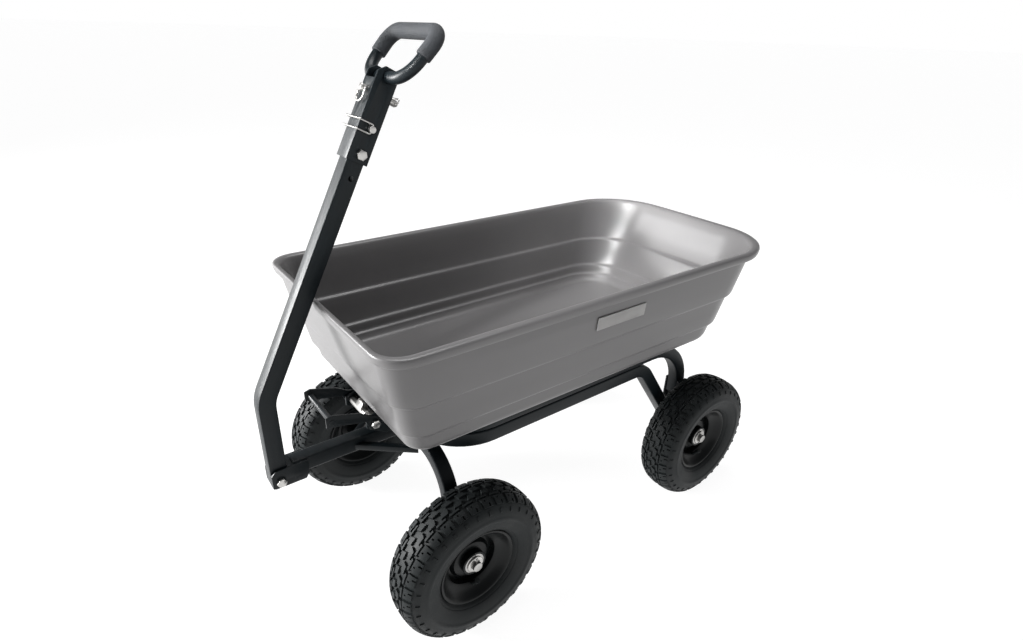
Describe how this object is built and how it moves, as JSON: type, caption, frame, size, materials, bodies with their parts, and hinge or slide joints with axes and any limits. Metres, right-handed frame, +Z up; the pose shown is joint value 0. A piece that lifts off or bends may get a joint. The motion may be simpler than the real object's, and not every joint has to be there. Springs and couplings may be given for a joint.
{
  "type": "garden dump cart",
  "caption": "Four-wheeled garden cart with a tipping moulded tub, steered front axle, pull handle with D grip and release latch.",
  "frame": {"origin": "on the ground under the centre of the cart's bounding box", "axes": "+Z up, -Y towards the handle end, +Y towards the rear axle, +X towards the side with the name plate"},
  "size_m": [0.5004, 0.96, 0.8857],
  "materials": {
    "tub_plastic": "satin moulded polyethylene",
    "black_frame": "satin black powder coat",
    "black_rim": "gloss black paint",
    "tyre_rubber": "matt rubber",
    "zinc": "bright zinc plate",
    "axle_steel": "turned steel",
    "foam": "foam sleeve",
    "valve_rubber": "matt rubber",
    "plate_plastic": "blank plate"
  },
  "bodies": {
    "chassis": {"chassis_frame": "black_frame", "chassis_cross_tube": "black_frame", "rear_stub_axles": "axle_steel", "rear_spacers": "axle_steel", "rear_axle_washers": "zinc", "rear_split_pins": "zinc", "kingpin": "zinc", "kingpin_nut": "zinc", "kingpin_washers": "zinc", "latch_brackets": "black_frame", "latch_spring": "zinc"},
    "front_axle": {"front_axle_arch": "black_frame", "stub_axles": "axle_steel", "front_spacers": "axle_steel", "front_axle_washers": "zinc", "front_split_pins": "zinc", "tongue_tube": "black_frame", "tongue_braces": "black_frame", "tongue_clevis": "black_frame", "handle_pivot_bolt": "zinc"},
    "tub": {"tub": "tub_plastic", "tub_frame": "black_frame", "tub_cross_tube": "black_frame", "tub_hinge_plates": "black_frame", "tub_bolts": "zinc", "striker_plate": "black_frame", "name_plate": "plate_plastic"},
    "handle": {"handle_tube": "black_frame", "handle_head": "black_frame", "head_bolt": "zinc", "grip_frame": "black_frame", "foam_grip": "foam"},
    "latch": {"latch_lever": "black_frame", "latch_shaft": "zinc", "latch_hook": "axle_steel"},
    "lock_pin": {"lock_pin": "zinc"},
    "lock_bail": {"lock_bail": "zinc"},
    "hitch_pin": {"hitch_pin": "zinc"},
    "hitch_ring": {"hitch_ring": "zinc"},
    "hair_clip": {"hair_clip": "zinc"},
    "wheel_front_left": {"tyre_front_left": "tyre_rubber", "rim_front_left": "black_rim", "bearings_front_left": "axle_steel", "valve_front_left": "valve_rubber"},
    "wheel_front_right": {"tyre_front_right": "tyre_rubber", "rim_front_right": "black_rim", "bearings_front_right": "axle_steel", "valve_front_right": "valve_rubber"},
    "wheel_rear_left": {"tyre_rear_left": "tyre_rubber", "rim_rear_left": "black_rim", "bearings_rear_left": "axle_steel", "valve_rear_left": "valve_rubber"},
    "wheel_rear_right": {"tyre_rear_right": "tyre_rubber", "rim_rear_right": "black_rim", "bearings_rear_right": "axle_steel", "valve_rear_right": "valve_rubber"}
  },
  "joints": [
    {"name": "steer", "type": "hinge", "parent": "chassis", "child": "front_axle", "pos_m": [0, -0.2585, 0.287], "axis": [0, 0, 1], "range_deg": [-12, 12]},
    {"name": "handle_tilt", "type": "hinge", "parent": "front_axle", "child": "handle", "pos_m": [0, -0.4675, 0.252], "axis": [1, 0, 0], "range_deg": [0, 120]},
    {"name": "tub_dump", "type": "hinge", "parent": "chassis", "child": "tub", "pos_m": [0, 0.309, 0.13], "axis": [-1, 0, 0], "range_deg": [0, 75]},
    {"name": "latch_lever_turn", "type": "hinge", "parent": "chassis", "child": "latch", "pos_m": [0, -0.322, 0.318], "axis": [1, 0, 0], "range_deg": [-12, 15], "stiffness_Nm_per_rad": 0.6},
    {"name": "lock_pin_pull", "type": "slide", "parent": "handle", "child": "lock_pin", "axis": [1, 0, 0], "range_m": [0, 0.004]},
    {"name": "lock_bail_swing", "type": "hinge", "parent": "lock_pin", "child": "lock_bail", "pos_m": [0.02, -0.28095, 0.75643], "axis": [0, 0.4509, 0.8926], "range_deg": [0, 120]},
    {"name": "hitch_pin_pull", "type": "slide", "parent": "handle", "child": "hitch_pin", "axis": [0, -0.8926, 0.4509], "range_m": [0, 0.01]},
    {"name": "hitch_ring_swing", "type": "hinge", "parent": "hitch_pin", "child": "hitch_ring", "pos_m": [0, -0.28065, 0.80737], "axis": [-1, 0, 0], "range_deg": [0, 150]},
    {"name": "hair_clip_pull", "type": "slide", "parent": "hitch_pin", "child": "hair_clip", "axis": [1, 0, 0], "range_m": [0, 0.007]},
    {"name": "wheel_front_left_spin", "type": "hinge", "parent": "front_axle", "child": "wheel_front_left", "pos_m": [0.21, -0.254, 0.13], "axis": [1, 0, 0], "continuous": true},
    {"name": "wheel_front_right_spin", "type": "hinge", "parent": "front_axle", "child": "wheel_front_right", "pos_m": [-0.21, -0.254, 0.13], "axis": [1, 0, 0], "continuous": true},
    {"name": "wheel_rear_left_spin", "type": "hinge", "parent": "chassis", "child": "wheel_rear_left", "pos_m": [0.21, 0.309, 0.13], "axis": [1, 0, 0], "continuous": true},
    {"name": "wheel_rear_right_spin", "type": "hinge", "parent": "chassis", "child": "wheel_rear_right", "pos_m": [-0.21, 0.309, 0.13], "axis": [1, 0, 0], "continuous": true}
  ]
}
